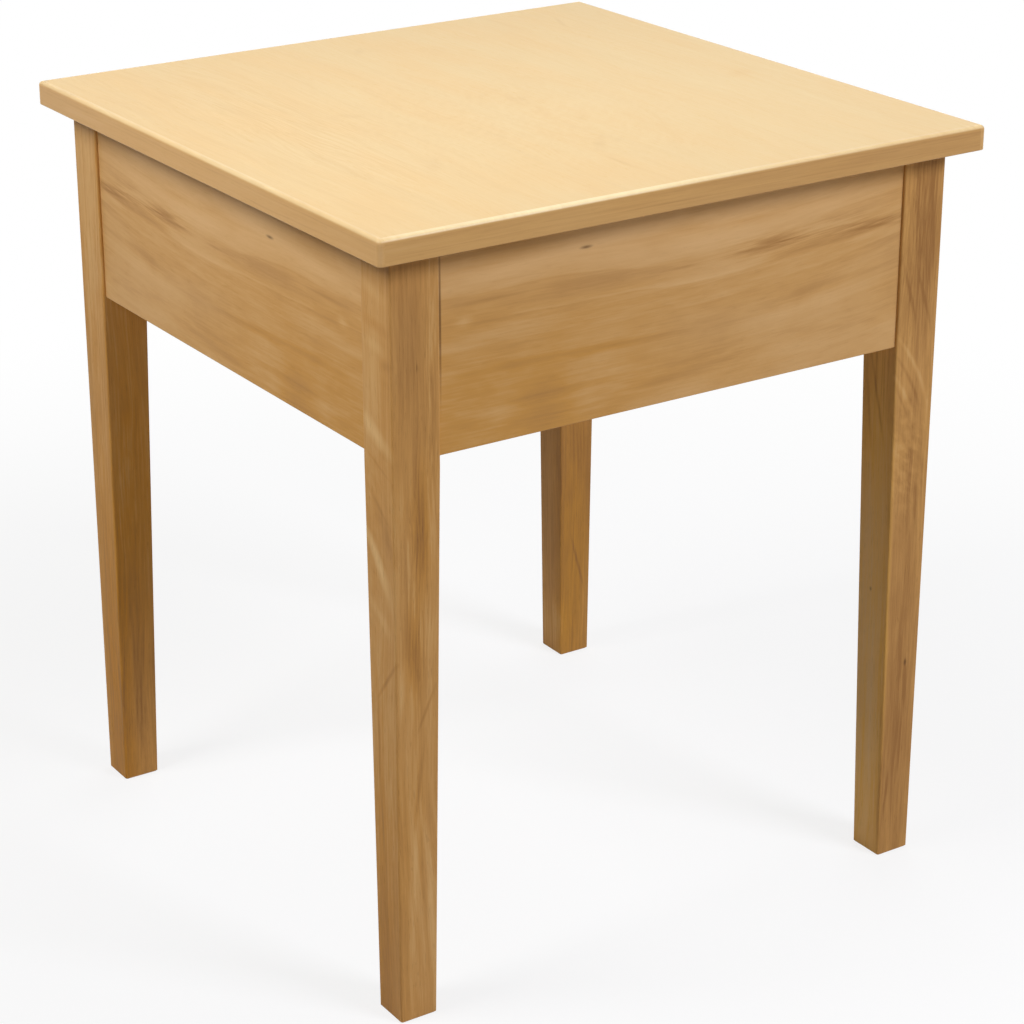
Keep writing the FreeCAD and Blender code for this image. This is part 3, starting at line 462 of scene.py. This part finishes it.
leg_marks = {
    "front_left": (
        # left face: pale beside the apron, with slanted waves and smoother fibres
        on_left("tone", 0.5, 0.004, 0.14, 0.03, 0.16, through=0.01),
        on_left("tone", 0.566, 0.006, 0.01, 0.02, 0.14, lean=1.5),
        on_left("tone", 0.541, 0.0, 0.008, 0.024, -0.14, lean=1.5),
        on_left("tone", 0.526, 0.002, 0.008, 0.024, 0.12, lean=1.5),
        on_left("tone", 0.515, -0.012, 0.006, 0.012, -0.14),
        on_left("comb", 0.47, 0.002, 0.28, 0.03, -0.18, through=0.01),
        # a pale flame that sweeps down and forward, with darker edges
        on_left("tone", 0.462, 0.004, 0.02, 0.018, 0.34, lean=1.4, through=0.008),
        on_left("tone", 0.366, 0.002, 0.042, 0.01, 0.5, lean=0.66, bow=6.0, through=0.008),
        on_left("tone", 0.385, -0.012, 0.04, 0.01, -0.16, lean=0.66, through=0.008),
        on_left("tone", 0.325, 0.002, 0.02, 0.012, 0.16, lean=1.0, through=0.008),
        # fine dark lines below the flame
        on_left("tone", 0.277, -0.0075, 0.026, 0.0034, -0.3, lean=-0.72),
        on_left("tone", 0.228, 0.0054, 0.045, 0.002, -0.34),
        on_left("tone", 0.16, 0.002, 0.08, 0.0026, -0.18, lean=0.09),
        # two more waves, a pale strip low down, and curl over all
        on_left("tone", 0.439, 0.0, 0.012, 0.005, -0.14, lean=2.1),
        on_left("tone", 0.408, 0.0, 0.02, 0.005, -0.14, lean=1.17),
        on_left("tone", 0.15, -0.007, 0.14, 0.01, 0.14),
        on_left("curl", 0.4, 0.004, 0.15, 0.04, 0.1, through=0.012),
        # front face: painted shade at the top, under the top's overhang, with two dark patches of coarse
        # fibre
        on_front("tone", 0.53, 0.004, 0.22, 0.024, -0.26, through=0.012),
        on_front("tone", 0.388, -0.002, 0.06, 0.01, -0.34, through=0.008),
        on_front("tone", 0.3, 0.005, 0.045, 0.01, -0.34, lean=0.09, through=0.008),
        on_front("comb", 0.35, 0.0, 0.14, 0.014, 0.36, through=0.008),
        on_front("comb", 0.5, -0.012, 0.12, 0.008, 0.4, through=0.008),
        # pale ticks, and a dark line that crosses the face
        on_front("tone", 0.414, 0.0124, 0.034, 0.004, 0.18),
        on_front("tone", 0.271, 0.015, 0.034, 0.005, 0.2),
        on_front("tone", 0.197, 0.0008, 0.06, 0.003, -0.26, lean=-0.136),
        on_front("tone", 0.253, -0.0056, 0.022, 0.0024, -0.26, lean=-0.44),
        # pale streaks towards the foot, with less amber
        on_front("tone", 0.12, 0.006, 0.14, 0.006, 0.2, lean=-0.03),
        on_front("tone", 0.08, -0.008, 0.11, 0.005, 0.32, lean=0.05),
        on_front("amber", 0.09, -0.009, 0.18, 0.012, -0.55, through=0.008),
        on_front("tone", 0.09, -0.002, 0.07, 0.0026, -0.14, lean=0.05),
        # a pin knot, and amber in the two patches
        on_front("stain", 0.512, -0.001, 0.005, 0.001, 0.5, through=0.004),
        on_front("amber", 0.388, -0.003, 0.08, 0.012, 0.9, through=0.008),
        on_front("amber", 0.302, 0.004, 0.07, 0.012, 0.7, through=0.008),
        # left face again: amber, and darker towards the foot as painted shade
        on_left("amber", 0.0, 0.0, 0.42, 0.03, 0.9, through=0.02),
        on_left("tone", 0.22, 0.004, 0.22, 0.03, 0.14, through=0.01),
        on_left("tone", 0.0, 0.0, 0.34, 0.03, -0.24, through=0.012),
    ),
    "front_right": (
        # front face: painted shade at the top, under the top's overhang, coarse there and paler under that
        on_front("tone", 0.53, 0.0, 0.16, 0.03, -0.36, through=0.012),
        on_front("comb", 0.53, 0.0, 0.16, 0.03, 0.22, through=0.012),
        on_front("tone", 0.3, 0.0, 0.4, 0.04, -0.18, through=0.012),
        on_front("tone", 0.44, 0.0, 0.08, 0.03, 0.14, through=0.012),
        # slanted dark lines beside the apron
        on_front("tone", 0.488, 0.0098, 0.04, 0.003, -0.26, lean=0.32),
        on_front("tone", 0.54, -0.01, 0.06, 0.0026, -0.2, lean=0.06),
        on_front("tone", 0.545, 0.004, 0.06, 0.0022, -0.16, lean=0.08),
        on_front("tone", 0.478, -0.0062, 0.036, 0.0028, -0.26, lean=0.325),
        on_front("tone", 0.397, 0.011, 0.02, 0.0024, -0.2, lean=0.5),
        # bowed waves below the apron
        on_front("tone", 0.422, -0.002, 0.044, 0.0036, 0.26, lean=0.54, bow=5.0),
        on_front("tone", 0.412, 0.003, 0.04, 0.003, -0.24, lean=0.54, bow=5.0),
        on_front("tone", 0.4, 0.007, 0.036, 0.0036, 0.24, lean=0.54, bow=5.0),
        on_front("tone", 0.398, 0.003, 0.014, 0.008, -0.16),
        # curl and dark lines under the waves
        on_front("tone", 0.34, 0.01, 0.07, 0.012, 0.14, lean=0.096, through=0.008),
        on_front("curl", 0.35, 0.004, 0.08, 0.03, 0.3, through=0.01),
        on_front("tone", 0.31, -0.008, 0.04, 0.003, -0.22, lean=0.07),
        on_front("tone", 0.33, -0.013, 0.055, 0.0026, -0.18, lean=0.05),
        # a darker foot, which is painted shade, with slanted lines
        on_front("tone", 0.055, 0.0067, 0.045, 0.0026, -0.22, lean=-0.107),
        on_front("tone", 0.1, -0.001, 0.055, 0.0026, -0.2, lean=-0.1),
        on_front("tone", 0.08, 0.0, 0.24, 0.04, -0.28, through=0.012),
        # left face, which is tapered: pale and amber, partly the wood's hue and partly painted light on this
        # shaded face, darker above as painted shade under the apron, with lines along it
        on_left("tone", 0.2, 0.002, 0.32, 0.04, 0.4, depth=0.0043, taper=0.0183, through=0.005),
        on_left("amber", 0.2, 0.002, 0.4, 0.04, 0.95, depth=0.0043, taper=0.0183, through=0.005),
        on_left("tone", 0.42, 0.0, 0.12, 0.05, -0.18, through=0.012),
        on_left("tone", 0.13, -0.004, 0.12, 0.003, 0.16, depth=0.0045, through=0.008),
        on_left("tone", 0.1, 0.004, 0.1, 0.0026, -0.16, depth=0.0055, through=0.008),
        on_left("tone", 0.395, 0.0, 0.055, 0.003, -0.3, lean=0.25),
        on_left("tone", 0.37, 0.008, 0.065, 0.0026, -0.22, lean=0.12),
        # front face again: a knot with its dark tail, and a dark edge at the foot
        on_front("tone", 0.15, -0.0078, 0.034, 0.0032, -0.34, lean=0.05),
        on_front("tone", 0.098, -0.0055, 0.036, 0.0018, -0.28),
        on_front("tone", 0.055, 0.013, 0.06, 0.004, -0.2),
        on_front("stain", 0.1714, -0.0068, 0.005, 0.0022, 0.85, through=0.005),
        # a pin knot on the left face
        on_left("stain", 0.234, 0.0005, 0.003, 0.002, 0.5, depth=0.0035),
    ),
    "back_right": (
        # front face, which is tapered: a slanted dark line
        on_front("tone", 0.092, -0.006, 0.042, 0.0026, -0.3, lean=0.28, depth=0.006, through=0.008),
        # the whole leg is darker in its middle, and its front face more so in two places
        ("tone", (0.2, 0.0, 0.0), (0.4, 0.1, 0.1), -0.3),
        on_front("tone", 0.21, 0.0, 0.06, 0.012, -0.12, depth=0.0035, through=0.008),
        on_front("tone", 0.165, 0.004, 0.02, 0.008, -0.12, depth=0.0035, through=0.008),
        # a pale foot on the left face, painted light below the edge of the aprons' shadow, and amber low on
        # the front
        on_left("tone", 0.03, 0.0, 0.04, 0.03, 0.3, depth=0.004, through=0.012),
        on_front("amber", 0.1, 0.0, 0.3, 0.04, 0.9, depth=0.006, through=0.02),
    ),
    "back_left": (
        # front face, which is tapered: painted shade over its lower part, amber, with two bowed lines
        on_front("tone", 0.06, 0.0, 0.21, 0.04, -0.4, depth=0.002, through=0.012),
        on_front("amber", 0.25, 0.0, 0.5, 0.04, 0.8, through=0.012),
        on_front("tone", 0.11, 0.006, 0.12, 0.0028, -0.22, lean=0.02, bow=0.3, depth=0.0045, through=0.008),
        on_front("tone", 0.07, 0.001, 0.09, 0.0028, -0.2, lean=-0.02, bow=-0.3, depth=0.0045, through=0.008),
        # left face: pale above, amber, and darker towards the foot as painted shade
        on_left("tone", 0.55, 0.0, 0.22, 0.03, 0.16, through=0.01),
        on_left("tone", 0.0, 0.0, 0.4, 0.03, -0.26, through=0.012),
        on_left("amber", 0.0, 0.0, 0.45, 0.03, 1.0, through=0.02),
    ),
}
for corner, pith, seed, streak_depth, amber_depth, amber in (
    ("front_left", (0.0, 0.030, 0.050), 2.3, 0.17, 0.3, (0.53, 0.25, 0.050)),
    # the front right leg's amber is bright enough to be partly painted light on its shaded left face
    ("front_right", (0.0, 0.012, 0.020), 6.2, 0.28, 0.08, (0.76, 0.42, 0.080)),
    ("back_right", (0.0, 0.045, -0.050), 4.9, 0.28, 0.3, (0.54, 0.26, 0.048)),
    ("back_left", (0.0, -0.040, 0.060), 7.7, 0.28, 0.3, (0.56, 0.24, 0.020)),
):
    low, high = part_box(f"leg_{corner}")
    middle = (low + high) / 2
    turning = {"turn": (0.0, quarter, 0.0), "shift": (0.0, -middle.y, middle.x)}
    figure = {"Pith": pith, "Ring Width": 0.004, "Sway": 0.005, "Rise": 0.0, "Seed": seed}
    look = {**leg_look, "Streak Depth": streak_depth, "Amber Depth": amber_depth, "Amber": amber}
    dress(f"leg_{corner}", wood_finish(f"leg_{corner}_wood", turning, figure, look, leg_marks[corner]))

# Hanger bolts, washers and nuts
# Two steel bolts draw each leg into its corner: a coarse wood thread in the leg and a fine machine
# thread through the block, with a washer and a hexagon nut. All are bright zinc plated.
bolt_zinc = metal_finish("bolt_zinc", (0.52, 0.53, 0.54), (0.72, 0.72, 0.71), 0.34)
for node in ("hanger_bolt_washers", "hanger_bolt_nuts"):
    dress(node, bolt_zinc)
bolt_low, bolt_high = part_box("hanger_bolts")
middle_level = (bolt_low.z + bolt_high.z) / 2
bolt_mesh = nodes["hanger_bolts"].data
bolt_points = np.empty(3 * len(bolt_mesh.vertices))
bolt_mesh.vertices.foreach_get("co", bolt_points)
bolt_points = bolt_points.reshape(-1, 3)
bolt_sides = np.sign(bolt_points - (0.0, 0.0, middle_level))
upright = np.array((0.0, 0.0, 1.0))
wood_share = 0.44
wood_pitch, wood_depth = 0.0025, 0.0009
machine_pitch, machine_depth = 0.0010, 0.0005
point_length, point_start = 0.006, 0.0004
cone_length, cone_share = 0.0012, 0.3
bolt_columns = 16
steps_per_pitch = 6


def threaded_rod(begin, axis, length, radius):
    """Points and faces of a hanger bolt: at each step along its axis a ring of points, whose radius is
    the crest's less the thread's depth times half of one plus the cosine of the turns made, one turn
    to a pitch. The wood thread's end shrinks to a point, and a coned ring closes the other end."""
    split = wood_share * length
    wood_rows = np.linspace(0.0, split, int(steps_per_pitch * split / wood_pitch))
    machine_rows = np.linspace(split, length, int(steps_per_pitch * (length - split) / machine_pitch))
    steps = np.concatenate([wood_rows, machine_rows[1:]])[:, None]
    turns = np.linspace(0.0, 2 * math.pi, bolt_columns, endpoint=False)[None, :]
    pitch = np.where(steps < split, wood_pitch, machine_pitch)
    depth = np.where(steps < split, wood_depth, machine_depth)
    groove = 0.5 + 0.5 * np.cos(2 * math.pi * (steps - split) / pitch - turns)
    reach = (radius - depth * groove) * np.minimum(1.0, (steps + point_start) / point_length)
    reach *= np.minimum(1.0, 1.0 - cone_share + cone_share * (length - steps) / cone_length)
    level = np.cross(upright, axis)
    ring = np.cos(turns)[..., None] * level + np.sin(turns)[..., None] * upright
    grid = begin + steps[..., None] * axis + reach[..., None] * ring
    rows = len(steps)
    index = np.arange(rows * bolt_columns).reshape(rows, bolt_columns)
    ahead = np.roll(index, -1, axis=1)
    quads = np.stack([index[:-1], ahead[:-1], ahead[1:], index[1:]], -1).reshape(-1, 4)
    ends = np.stack([begin, begin + length * axis])
    points = np.concatenate([grid.reshape(-1, 3), ends])
    tip = np.stack([ahead[0], index[0], np.full(bolt_columns, len(points) - 2)], -1)
    cap = np.stack([index[-1], ahead[-1], np.full(bolt_columns, len(points) - 1)], -1)
    return points, quads, np.concatenate([tip, cap])


all_points, all_faces, count = [], [], 0
for sides in itertools.product((-1, 1), repeat=3):
    one_bolt = bolt_points[(bolt_sides == sides).all(1)]
    axis = np.array((-sides[0], -sides[1], 0.0)) / math.sqrt(2)
    reaches = one_bolt @ axis
    lowest, highest = one_bolt[:, 2].min(), one_bolt[:, 2].max()
    begin = axis * reaches.min() + upright * (lowest + highest) / 2
    points, quads, ends = threaded_rod(begin, axis, np.ptp(reaches), (highest - lowest) / 2)
    all_points.append(points)
    all_faces += (quads + count).tolist() + (ends + count).tolist()
    count += len(points)
rods_mesh = bpy.data.meshes.new("hanger_bolt_rods")
rods_mesh.from_pydata(np.concatenate(all_points).tolist(), [], all_faces)
rods_mesh.shade_smooth()
rods_mesh.materials.append(bolt_zinc)
rods = bpy.data.objects.new("hanger_bolt_rods", rods_mesh)
bpy.context.scene.collection.objects.link(rods)
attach(rods, "root")
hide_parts("hanger_bolts")

# Cleats
# Four strips of the blocks' softwood run along the aprons, flush under the top.
# Screws of the same kind hold each one level to its apron and upwards to the panel.
for side, turning, seed in (("front", {}, 21.0), ("right", along_y, 25.0), ("back", {}, 29.0),
                            ("left", along_y, 33.0)):
    figure = {"Pith": (0.0, 0.05, 0.45), "Ring Width": 0.003, "Sway": 0.002, "Rise": 0.0, "Seed": seed}
    raw_wood = wood_finish(f"cleat_{side}_wood", turning, figure, block_look, coat=0.0, relief=0.3)
    dress(f"top_cleat_{side}", raw_wood)
for node in ("cleat_screws", "top_screws"):
    dress(node, screw_zinc)

# Top panel
# A pressed wood core between two veneers: a pale figured sheet above and a plainer one below.
# The grain of both runs from front to back, and the upper sheet is clear lacquered.
veneer_look = {
    "Ring Depth": 0.06, "Streak Depth": 0.16, "Fibre Depth": 0.05, "Fleck Depth": 0.02, "Amber Depth": 0.7,
    "Dark": (0.68, 0.455, 0.208), "Middle": (0.765, 0.554, 0.275), "Pale": (0.81, 0.612, 0.322),
    "Amber": (0.770, 0.524, 0.238), "Stain": (0.45, 0.28, 0.12), "Polish": 0.42,
}
veneer_figure = {"Pith": (0.0, 0.05, 0.50), "Ring Width": 0.006, "Sway": 0.010, "Rise": 0.0, "Seed": 17.0}
top_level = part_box("top_face_veneer")[1].z


def on_top(effect, back, right, length, width, amount, lean=0.0, through=0.02):
    """A mark on the top: its place behind and to the right of the middle, its half length from front to
    back and half width, its amount, the lean of its path to the right and its reach into the wood."""
    return effect, (back, right, top_level), (length, width, through), amount, (0.0, lean, 0.0)


veneer_marks = (
    # painted shade at the left and painted light at the right, which even out how the lamps fall on the top
    on_top("tone", 0.08, -0.27, 0.4, 0.24, -0.17, through=0.1),
    on_top("tone", -0.08, 0.2, 0.45, 0.28, 0.17, through=0.1),
    # fibres that stand out near the left edge
    on_top("comb", 0.0, -0.17, 0.3, 0.07, 0.3, through=0.05),
    # soft smudges
    on_top("tone", 0.026, -0.115, 0.018, 0.012, -0.16, lean=-0.5),
    on_top("tone", -0.005, 0.016, 0.03, 0.016, -0.14, lean=0.4),
    on_top("tone", -0.073, 0.031, 0.03, 0.009, -0.16, lean=0.5),
    on_top("tone", -0.031, 0.215, 0.016, 0.022, -0.16, lean=0.6),
    on_top("tone", -0.126, -0.136, 0.036, 0.014, -0.14, lean=0.5),
    on_top("tone", -0.147, -0.005, 0.024, 0.01, -0.16, lean=0.6),
    on_top("tone", 0.206, 0.0, 0.016, 0.008, -0.16, lean=0.5),
    # curl over the middle
    on_top("curl", -0.05, -0.01, 0.26, 0.22, 0.14, through=0.05),
    # two short dark lines
    on_top("tone", 0.205, 0.202, 0.03, 0.004, -0.26, lean=0.35),
    on_top("tone", -0.194, -0.021, 0.03, 0.003, -0.22),
)
dress("top_face_veneer", wood_finish("face_veneer_wood", along_y, veneer_figure, veneer_look, veneer_marks))
back_look = {**veneer_look, "Dark": (0.42, 0.26, 0.12), "Middle": (0.56, 0.38, 0.19),
             "Pale": (0.66, 0.47, 0.26), "Amber": (0.54, 0.34, 0.15), "Polish": 0.7}
back_figure = {**veneer_figure, "Seed": 40.0}
dress("top_back_veneer", wood_finish("back_veneer_wood", along_y, back_figure, back_look, coat=0.0))
core_look = {**block_look, "Dark": (0.30, 0.19, 0.09), "Middle": (0.45, 0.31, 0.17),
             "Pale": (0.60, 0.44, 0.26), "Amber": (0.42, 0.27, 0.13)}
core_figure = {**veneer_figure, "Sway": 0.0}
dress("top_core", wood_finish("core_board", {}, core_figure, core_look, coat=0.0))

# Edge bands
# Strips of the hardwood glued round the panel; the side strips cover the ends of the other two.
# The upper arris is rounded over and takes the sheet's pale colour, made paler still as a painted highlight,
# then all is lacquered together.
band_look = {**apron_look, "Ring Depth": 0.10, "Streak Depth": 0.12, "Fibre Depth": 0.12, "Polish": 0.40,
             "Middle": (0.62, 0.357, 0.126), "Amber": (0.61, 0.327, 0.094)}
# the sheet's look with a paler pale, a painted highlight on the rounding
arris_highlight_look = {**veneer_look, "Pale": (0.90, 0.73, 0.42)}
band_coat, band_relief = 0.3, 0.05
round_over = 0.0032
# depths below the top at which the sheet's colour, with its painted highlight, begins and is full
toning_begins, toning_full = 0.8 * round_over, 0.35 * round_over
band_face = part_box("edge_band_front")[0].y
# painted highlight: the front arris is palest left of its middle
arris_highlight_marks = {"front": (on_top("tone", band_face, -0.11, 0.02, 0.26, 0.42),)}
band_marks = {
    # painted shade: darker towards the right end, where the front lamp falls more strongly
    "front": (("tone", (0.25, band_face, 0.605), (0.6, 0.05, 0.05), -0.20),),
    # painted highlight: a pale end at the near corner
    "left": (("tone", (band_face, band_face, 0.604), (0.005, 0.006, 0.03), 0.35),),
}
for side, turning, seed in (("front", {}, 51.0), ("right", along_y, 55.0), ("back", {}, 59.0),
                            ("left", along_y, 63.0)):
    finish, tree, shader = new_finish(f"band_{side}_wood")
    low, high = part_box(f"edge_band_{side}")
    middle = (low + high) / 2
    across = middle.y if side in ("front", "back") else middle.x
    figure = {"Pith": (0.0, across, 0.45), "Ring Width": 0.003, "Sway": 0.002, "Rise": 0.0, "Seed": seed}
    strip = grow_wood(tree, turning, figure, band_look, band_marks.get(side, ()))
    sheet = grow_wood(tree, along_y, veneer_figure, arris_highlight_look, arris_highlight_marks.get(side, ()))
    point = put(tree, "ShaderNodeTexCoord").outputs["Object"]
    height = put(tree, "ShaderNodeSeparateXYZ", {0: point}).outputs["Z"]
    # the rounding takes the sheet's colour, paler as a painted highlight
    sheet_and_highlight_share = soft_step(tree, height, high.z - toning_begins, high.z - toning_full)
    colour = mix_colour(tree, sheet_and_highlight_share, strip["Color"], sheet["Color"])
    lay_finish(tree, shader, colour, strip["Roughness"], strip["Height"], band_coat, band_relief)
    dress(f"edge_band_{side}", finish)

# Studio
# A white floor that keeps a soft shadow, fades into a white backdrop and is clear from below, soft
# boxes on the left, in front on the right and overhead, and the camera at the photograph's place.
half_floor = 8.0
fade_begins, fade_ends = 0.4, 1.4
least_glow = 0.8
paper_white = (0.92, 0.92, 0.92)
paper_in_stray_light = (0.70, 0.675, 0.64)
white = (1.0, 1.0, 1.0, 1.0)
corners = [(-half_floor, -half_floor, 0.0), (half_floor, -half_floor, 0.0),
           (half_floor, half_floor, 0.0), (-half_floor, half_floor, 0.0)]
floor_mesh = bpy.data.meshes.new("floor")
floor_mesh.from_pydata(corners, [], [(0, 1, 2, 3)])
floor = bpy.data.objects.new("floor", floor_mesh)
bpy.context.scene.collection.objects.link(floor)


def backdrop_view(tree):
    """1 for rays from the camera, mirrors and glass, which see the white backdrop; 0 for stray light."""
    path = put(tree, "ShaderNodeLightPath").outputs
    mirrored = reckon(tree, "MAXIMUM", path["Is Glossy Ray"], path["Is Transmission Ray"])
    return reckon(tree, "MAXIMUM", path["Is Camera Ray"], mirrored)


paper = bpy.data.materials.new("floor_paper")
paper.use_nodes = True
tree = paper.node_tree
tree.nodes.clear()
point = put(tree, "ShaderNodeTexCoord").outputs["Object"]
distance = reckon_points(tree, "LENGTH", point)
far = soft_step(tree, distance, fade_begins, fade_ends)
fade = reckon(tree, "MULTIPLY_ADD", far, 1.0 - least_glow, least_glow)
in_view = backdrop_view(tree)
paper_colour = mix_colour(tree, in_view, paper_in_stray_light, paper_white)
matt = put(tree, "ShaderNodeBsdfDiffuse", {"Color": paper_colour}).outputs[0]
glow = put(tree, "ShaderNodeEmission", {"Color": white, "Strength": 1.0}).outputs[0]
blend = put(tree, "ShaderNodeMixShader", {0: reckon(tree, "MULTIPLY", fade, in_view), 1: matt, 2: glow})
clear = put(tree, "ShaderNodeBsdfTransparent").outputs[0]
beneath = put(tree, "ShaderNodeNewGeometry").outputs["Backfacing"]
sheet_of_paper = put(tree, "ShaderNodeMixShader", {0: beneath, 1: blend.outputs[0], 2: clear})
put(tree, "ShaderNodeOutputMaterial", {"Surface": sheet_of_paper.outputs[0]})
floor_mesh.materials.append(paper)

world = bpy.data.worlds.new("studio")
bpy.context.scene.world = world
world.use_nodes = True
tree = world.node_tree
tree.nodes.clear()
ambient = 0.13
strength = reckon(tree, "MAXIMUM", backdrop_view(tree), ambient)
sky = put(tree, "ShaderNodeBackground", {"Color": white, "Strength": strength}).outputs[0]
put(tree, "ShaderNodeOutputWorld", {"Surface": sky})


def soft_box(name, place, aim, size, power, spread=180, tint=(1.0, 1.0, 1.0)):
    """A square area lamp at a place, facing a point, with its light kept within a spread in degrees."""
    lamp = bpy.data.lights.new(name, "AREA")
    lamp.color = tint
    lamp.size = size
    lamp.spread = math.radians(spread)
    lamp.energy = power
    box = bpy.data.objects.new(name, lamp)
    facing = (Vector(place) - Vector(aim)).to_track_quat("Z", "Y").to_matrix().to_4x4()
    box.matrix_world = Matrix.Translation(place) @ facing
    bpy.context.scene.collection.objects.link(box)


table_middle = (0.0, 0.0, 0.40)
table_top = (0.0, 0.0, top_level)
soft_box("left_light", (-1.5, 0.10, 1.85), table_top, size=0.85, power=5.3, spread=70)
soft_box("front_light", (1.25, -2.8, 2.6), table_middle, size=1.25, power=82.0, tint=(0.99, 1.01, 1.10))
soft_box("overhead_light", (1.0, 0.9, 2.6), table_middle, size=1.6, power=16.0)

photo_side = 1024
focal_pixels = 2806.22
centre_pixel = (440, 450)
heading, tilt, roll = -0.5592, -0.3704, -0.0097
eye = (-1.164964, -1.776405, 1.150017)
lens = bpy.data.cameras.new("camera")
lens.sensor_width = 36.0
lens.lens = focal_pixels * lens.sensor_width / photo_side
lens.shift_x = (photo_side / 2 - centre_pixel[0]) / photo_side
lens.shift_y = (centre_pixel[1] - photo_side / 2) / photo_side
camera = bpy.data.objects.new("camera", lens)
camera.matrix_world = (Matrix.Translation(eye) @ Matrix.Rotation(heading, 4, "Z")
                       @ Matrix.Rotation(quarter + tilt, 4, "X") @ Matrix.Rotation(roll, 4, "Z"))
bpy.context.scene.collection.objects.link(camera)
bpy.context.scene.camera = camera
bpy.context.scene.view_settings.view_transform = "Standard"
